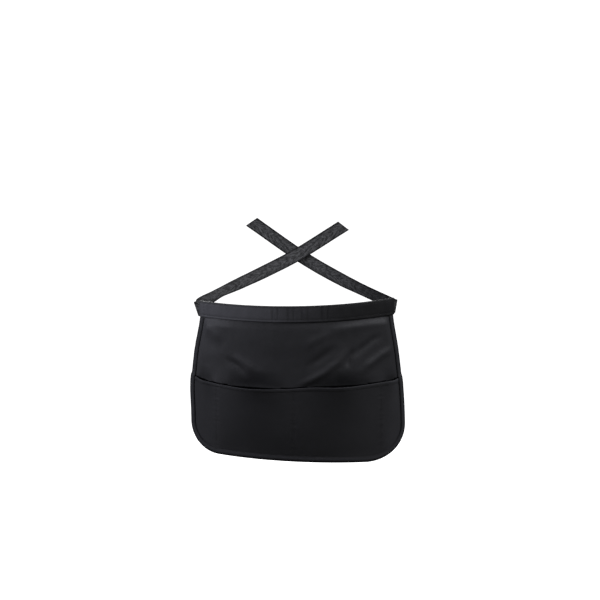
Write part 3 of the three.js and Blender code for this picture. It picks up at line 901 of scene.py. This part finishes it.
# Returns how long the tape is, and a function of place along it, across it and off it.
# It leaves the band's end flat, folds over there on a slant and then follows its run.
def layTie(tie):
    side = tie["side"]
    endArc = side * bandEndArc
    width, radius = tieTapes["width"], tieTapes["turnRadius"]
    height = flatHeight(side, 0) - tieTapes["drop"]
    angle = endArc / waistRadius
    up, out = Vector((0, 0, 1)), outward(endArc)
    alongBand = Vector((math.cos(angle), math.sin(angle), 0)) * side
    end = waistPoint(endArc, height, tieTapes["offset"])
    heading, climb = math.radians(tieTapes["heading"]), math.radians(tie["climb"])
    level = Vector((-side * math.cos(heading), math.sin(heading), 0))
    leave = level * math.cos(climb) + up * math.sin(climb)
    slant = math.atan2(leave.z, 1 - leave.dot(alongBand))
    axis = up * math.cos(slant) + alongBand * math.sin(slant)
    ahead = alongBand * math.cos(slant) - up * math.sin(slant)
    turn = math.atan2(-leave.dot(out), leave.dot(ahead))
    turnStart = width / 2 * math.sin(slant) + tieTapes["turnStandOff"]

    def foldPoint(along, across, off):
        if along < 0:
            return waistPoint(endArc + side * along, height + across, tieTapes["offset"] + off)
        flat = along * math.cos(slant) - across * math.sin(slant)
        rise = along * math.sin(slant) + across * math.cos(slant)
        turned = clamp((flat - turnStart) / radius, 0, turn)
        radial = out * math.cos(turned) + ahead * math.sin(turned)
        forward = ahead * math.cos(turned) - out * math.sin(turned)
        return (end + axis * rise + ahead * turnStart - out * radius + radial * (radius + off)
                + forward * (flat - turnStart - radius * turned))

    turnLength = (turnStart + radius * turn + width / 2 * math.sin(slant)) / math.cos(slant)
    leaving = foldPoint(turnLength, 0, 0)
    route = [leaving, leaving + leave * (width / 2)]
    halfWidth, halfDepth = apron["waistHalfWidth"], apron["waistDepth"] / 2
    route += [Vector((across * halfWidth, back * halfDepth, rise * tieTapes["crossingRise"]))
              for across, back, rise, lean in tie["run"]]

    def frameAt(along, lean):
        upright = Vector((0, 1, 0)).cross(along).normalized() * side
        toBack = upright.cross(along).normalized() * -side
        over = upright * math.cos(lean) + toBack * math.sin(lean)
        return upright, toBack, over, along.cross(over).normalized() * side

    exitUp = foldPoint(turnLength, 1, 0) - leaving
    upright, toBack, over, off = frameAt(leave, 0)
    leans = [(0, math.atan2(exitUp.dot(toBack), exitUp.dot(upright)))]
    leans += [((i + 2) / (len(tie["run"]) + 1), math.radians(row[3])) for i, row in enumerate(tie["run"])]

    count = 400
    samples = [curvePoint(route, i / count) for i in range(count + 1)]
    lengths = [0.0]
    for before, after in zip(samples, samples[1:]):
        lengths.append(lengths[-1] + (after - before).length)

    def shareAt(distance):
        i = 0
        while i < count - 1 and lengths[i + 1] < distance:
            i += 1
        return (i + clamp((distance - lengths[i]) / (lengths[i + 1] - lengths[i]))) / count

    def place(distance, across, off):
        if distance <= turnLength:
            return foldPoint(distance, across, off)
        run = distance - turnLength
        share = shareAt(run)
        along = (curvePoint(route, share + 0.001) - curvePoint(route, share - 0.001)).normalized()
        upright, toBack, over, outside = frameAt(along, readTable(leans, share, 1))
        beyond = max(0.0, run - lengths[-1])
        skew = tieTapes["skew"] * smooth(share, tieTapes["skewStart"], 1) * (0.5 - across / width)
        return curvePoint(route, share) + along * (beyond + skew) + over * across + outside * off

    return turnLength + lengths[-1] + tieTapes["hem"], place


# A tape runs to its tip, turns over there and comes back under itself as a hem.
def makeTie(name, tie, replaced):
    length, place = layTie(tie)
    start, radius = -tieTapes["insert"], tieTapes["hemRadius"]
    bendShare, hemShare = tieTapes["bendShare"], tieTapes["hemShare"]

    # Distance along the place function, distance off it, and distance along the flat tape.
    def tapeRow(v):
        if v < bendShare:
            distance = start + (length - radius - start) * v / bendShare
            return distance, 0.0, distance
        if v < hemShare:
            bend = math.pi * (v - bendShare) / (hemShare - bendShare)
            distance = length - radius + radius * math.sin(bend)
            return distance, radius * (1 - math.cos(bend)), length + radius * bend
        back = tieTapes["hem"] * (v - hemShare) / (1 - hemShare)
        return length - radius - back, 2 * radius, length + math.pi * radius + back

    def at(u, v):
        distance, off, flat = tapeRow(v)
        across = tieTapes["width"] * (0.5 - u)
        limp = tieTapes["limp"] * ripple(distance, across * 0.4, tieTapes["limpSize"], tie["side"])
        return place(distance, across, limp * smooth(distance, 0.02, 0.05) + off)

    # Painted shade where the tape leaves the band and along part of its run, and at the fold of its tip.
    def tiePaintedShade(u, v):
        distance, off, flat = tapeRow(v)
        dark = tie["paintedShadeAtBand"] * (1 - smooth(distance, 0.05, 0.16))
        dark += tie["paintedShadeMiddle"] * smooth(distance, 0.04, 0.10) * (1 - smooth(distance, 0.22, 0.30))
        tip = tieTapes["paintedShadeAtTip"] * peak(distance - length, 0.0018)
        return (1 - dark) * (1 - tip)

    mesh = clothGrid(tieTapes["columns"], tieTapes["rows"], at,
                     lambda u, v: (tapeRow(v)[2], tieTapes["width"] * (0.5 - u)), tiePaintedShade)
    made = finishPiece(name, mesh, [tieTape], replaced, tieTapes["thickness"], 0.0004)
    return place, length


leftTie = makeTie("leftTie", tieTapes["left"], "left_tie")
rightTie = makeTie("rightTie", tieTapes["right"], "right_tie")

# Topstitching: each stitch is a small bead of thread laid along its line.
sewing = {
    "pitch": 0.0030,
    "length": 0.0023,
    "width": 0.00045,
    "height": 0.00035,
    "bandReach": 0.985,
    "bandEndInset": 0.011,
    "pocketReach": 0.95,
    "seamTop": 0.004,
    "tieReach": 0.88,
    "tieHemInset": 0.002,
}


# One bead of thread, laid down again for each stitch.
def makeBead():
    mesh = bmesh.new()
    bmesh.ops.create_uvsphere(mesh, u_segments=6, v_segments=4, radius=0.5)
    for face in mesh.faces:
        face.smooth = True
    bead = bpy.data.meshes.new("bead")
    mesh.to_mesh(bead)
    mesh.free()
    return bead, [vert.co.copy() for vert in bead.vertices]


bead, beadPlaces = makeBead()


# Lays stitches along a line given by a function of its share that returns the place
# on the cloth and the way out of it.
def sewLine(mesh, lineAt, count=300):
    samples = [lineAt(i / count) for i in range(count + 1)]
    walked = 0.0
    nextAt = sewing["pitch"] / 2
    for (before, wayOut), (after, lastOut) in zip(samples, samples[1:]):
        step = (after - before).length
        while step > 0 and walked + step >= nextAt:
            centre = before.lerp(after, (nextAt - walked) / step)
            along = (after - before).normalized()
            side = wayOut.cross(along).normalized()
            lift = along.cross(side).normalized()
            axes = Matrix((side * sewing["width"], lift * sewing["height"], along * sewing["length"]))
            axes.transpose()
            for vert, place in zip(bead.vertices, beadPlaces):
                vert.co = centre + axes @ place
            mesh.from_mesh(bead)
            nextAt += sewing["pitch"]
        walked += step


def finishSewing(name, mesh):
    flatMap = mesh.loops.layers.uv.new("flat")
    paintedShadingLayer = mesh.verts.layers.float.new("tone")
    for vert in mesh.verts:
        vert[paintedShadingLayer] = 1.0
    for face in mesh.faces:
        face.smooth = True
        for corner in face.loops:
            corner[flatMap].uv = corner.vert.co.x * 2, corner.vert.co.z * 2
    bmesh.ops.recalc_face_normals(mesh, faces=mesh.faces)
    return finishPiece(name, mesh, [thread])


# A stitch's place on the band, on its front face, 0, or its back face, 1.
def bandStitch(arc, rise, face, reach=1.0):
    faces = bandFaces(arc, rise)
    place = waistPoint(arc * reach, faces[2], faces[face] + clothThickness * (0.5 - face))
    return place, outward(arc) * (1 - 2 * face)


bandSewing = bmesh.new()
topRise, lowRise = waistBand["sewnRises"]
for rise in (topRise, lowRise):
    for face in (0, 1):
        sewLine(bandSewing, lambda t: bandStitch((2 * t - 1) * bandEndArc, rise, face, sewing["bandReach"]))
for arc in (-bandEndArc + sewing["bandEndInset"], bandEndArc - sewing["bandEndInset"]):
    for face in (0, 1):
        sewLine(bandSewing, lambda t: bandStitch(arc, lowRise + (topRise - lowRise) * t, face))
finishSewing("bandStitches", bandSewing)

hemLineDown = mouthDown + (pocketLayer["hem"] - pocketLayer["hemLineInset"]) / apron["length"]


def hemStitch(t):
    across = sewing["pocketReach"] * (2 * t - 1)
    place = pocketPoint(across, hemLineDown, pocketLayer["hemTurn"] + clothThickness / 2)
    return place, outward(flatPlace(across, hemLineDown)[0])


# The seams go through both layers, so they show on the pocket, 0, and behind, 1.
def seamStitch(seam, t, face):
    bottom = 0.955 if abs(seam) < 0.5 else 0.93
    down = mouthDown + sewing["seamTop"] + (bottom - mouthDown) * t
    sideArc = flatPlace(1 if seam > 0 else -1, down)[0]
    layer = (pocketPoint, frontPoint)[face]
    place = layer(seam * halfArc / abs(sideArc), down, clothThickness * (0.5 - face))
    return place, outward(seam * halfArc) * (1 - 2 * face)


pocketSewing = bmesh.new()
sewLine(pocketSewing, hemStitch)
for seam in pocketLayer["seams"]:
    for face in (0, 1):
        sewLine(pocketSewing, lambda t: seamStitch(seam, t, face))
finishSewing("pocketStitches", pocketSewing)


def edgeStitch(t, face):
    offset = edgeFaces(t)[face] + edgeTape["thickness"] * (0.5 - face)
    place = edgePoint(t, edgeTape["width"] - edgeTape["stitchInset"], offset)
    return place, outward(edgeFrame(t)[0].x) * (1 - 2 * face)


edgeSewing = bmesh.new()
for face in (0, 1):
    sewLine(edgeSewing, lambda t: edgeStitch(t, face), 900)
finishSewing("edgeStitches", edgeSewing)

tieSewing = bmesh.new()
halfTape = tieTapes["thickness"] / 2
for place, length in (leftTie, rightTie):
    hemLine = length - tieTapes["hem"] + sewing["tieHemInset"]
    for off, side in ((-halfTape, -1), (2 * tieTapes["hemRadius"] + halfTape, 1)):
        wayOut = (place(hemLine, 0, 0.001) - place(hemLine, 0, 0)).normalized() * side
        sewLine(tieSewing, lambda t: (
            place(hemLine, tieTapes["width"] * sewing["tieReach"] * (t - 0.5), off), wayOut))
finishSewing("tieStitches", tieSewing)

# Floor, light and camera. Lamps: name, place, size, power and colour.
studio = {
    "floorHeight": -0.75,
    "worldLight": 0.15,
    "worldSeen": 1.05,
    "distance": 15.0,
    "elevation": 10.0,
    "metresPerPixel": 0.00192,
    "imageWidth": 600,
    "sensorWidth": 36,
    "aimRight": 0.0061,
    "aimDown": 0.0052,
    "lampAim": (0, -0.03, -0.12),
    "lamps": [
        ("keyLeft", (-1.28, -0.55, 0.38), 0.6, 20, (0.87, 0.88, 1.0)),
        ("fillRight", (1.5, -0.7, 1.3), 0.6, 58, (0.93, 0.94, 1.0)),
        ("frontTop", (-0.2, -1.6, 1.9), 0.9, 6, (1.0, 1.0, 1.0)),
        ("backLight", (-0.4, 1.9, 0.9), 1.0, 40, (1.0, 1.0, 1.0)),
    ],
}


# Puts a lamp or the camera at a place, looking along a way.
def aimObject(made, place, way):
    made.location = place
    made.rotation_mode = "QUATERNION"
    made.rotation_quaternion = way.to_track_quat("-Z", "Y")


floorMaterial = bpy.data.materials.new("paleFloor")
floorMaterial.use_nodes = True
floorShader = floorMaterial.node_tree.nodes["Principled BSDF"]
floorShader.inputs["Base Color"].default_value = (0.9, 0.9, 0.9, 1)
floorShader.inputs["Roughness"].default_value = 0.9
floorShader.inputs["Emission Color"].default_value = (1, 1, 1, 1)
floorShader.inputs["Emission Strength"].default_value = 1.0
floorMesh = bmesh.new()
bmesh.ops.create_grid(floorMesh, x_segments=1, y_segments=1, size=30)
bmesh.ops.translate(floorMesh, verts=floorMesh.verts, vec=(0, 0, studio["floorHeight"]))
floor = addMesh("floor", floorMesh, [floorMaterial])
floor.visible_diffuse = False
floor.visible_glossy = False

world = bpy.data.worlds.new("studio")
bpy.context.scene.world = world
world.use_nodes = True
worldTree = world.node_tree
seen = putNode(worldTree, "ShaderNodeLightPath").outputs["Is Camera Ray"]
strength = sums(worldTree, "MULTIPLY_ADD", seen, studio["worldSeen"] - studio["worldLight"],
                studio["worldLight"])
worldTree.nodes["Background"].inputs["Color"].default_value = (1, 1, 1, 1)
worldTree.links.new(strength, worldTree.nodes["Background"].inputs["Strength"])

for name, place, size, power, colour in studio["lamps"]:
    lampData = bpy.data.lights.new(name, "AREA")
    lampData.size = size
    lampData.energy = power
    lampData.color = colour
    lamp = addObject(name, lampData)
    lamp.visible_camera = False
    aimObject(lamp, place, Vector(studio["lampAim"]) - Vector(place))

tilt = math.radians(studio["elevation"])
imageUp = Vector((0, math.sin(tilt), math.cos(tilt)))
aim = Vector((studio["aimRight"], 0, 0)) - imageUp * studio["aimDown"]
back = Vector((0, -math.cos(tilt), math.sin(tilt)))
cameraData = bpy.data.cameras.new("camera")
cameraData.sensor_width = studio["sensorWidth"]
viewWidth = studio["imageWidth"] * studio["metresPerPixel"]
cameraData.lens = studio["sensorWidth"] * studio["distance"] / viewWidth
cameraData.clip_end = 100
camera = addObject("camera", cameraData)
aimObject(camera, aim + back * studio["distance"], -back)
bpy.context.scene.camera = camera
bpy.context.scene.view_settings.view_transform = "Standard"
bpy.context.scene.view_settings.look = "None"
print("studio made")
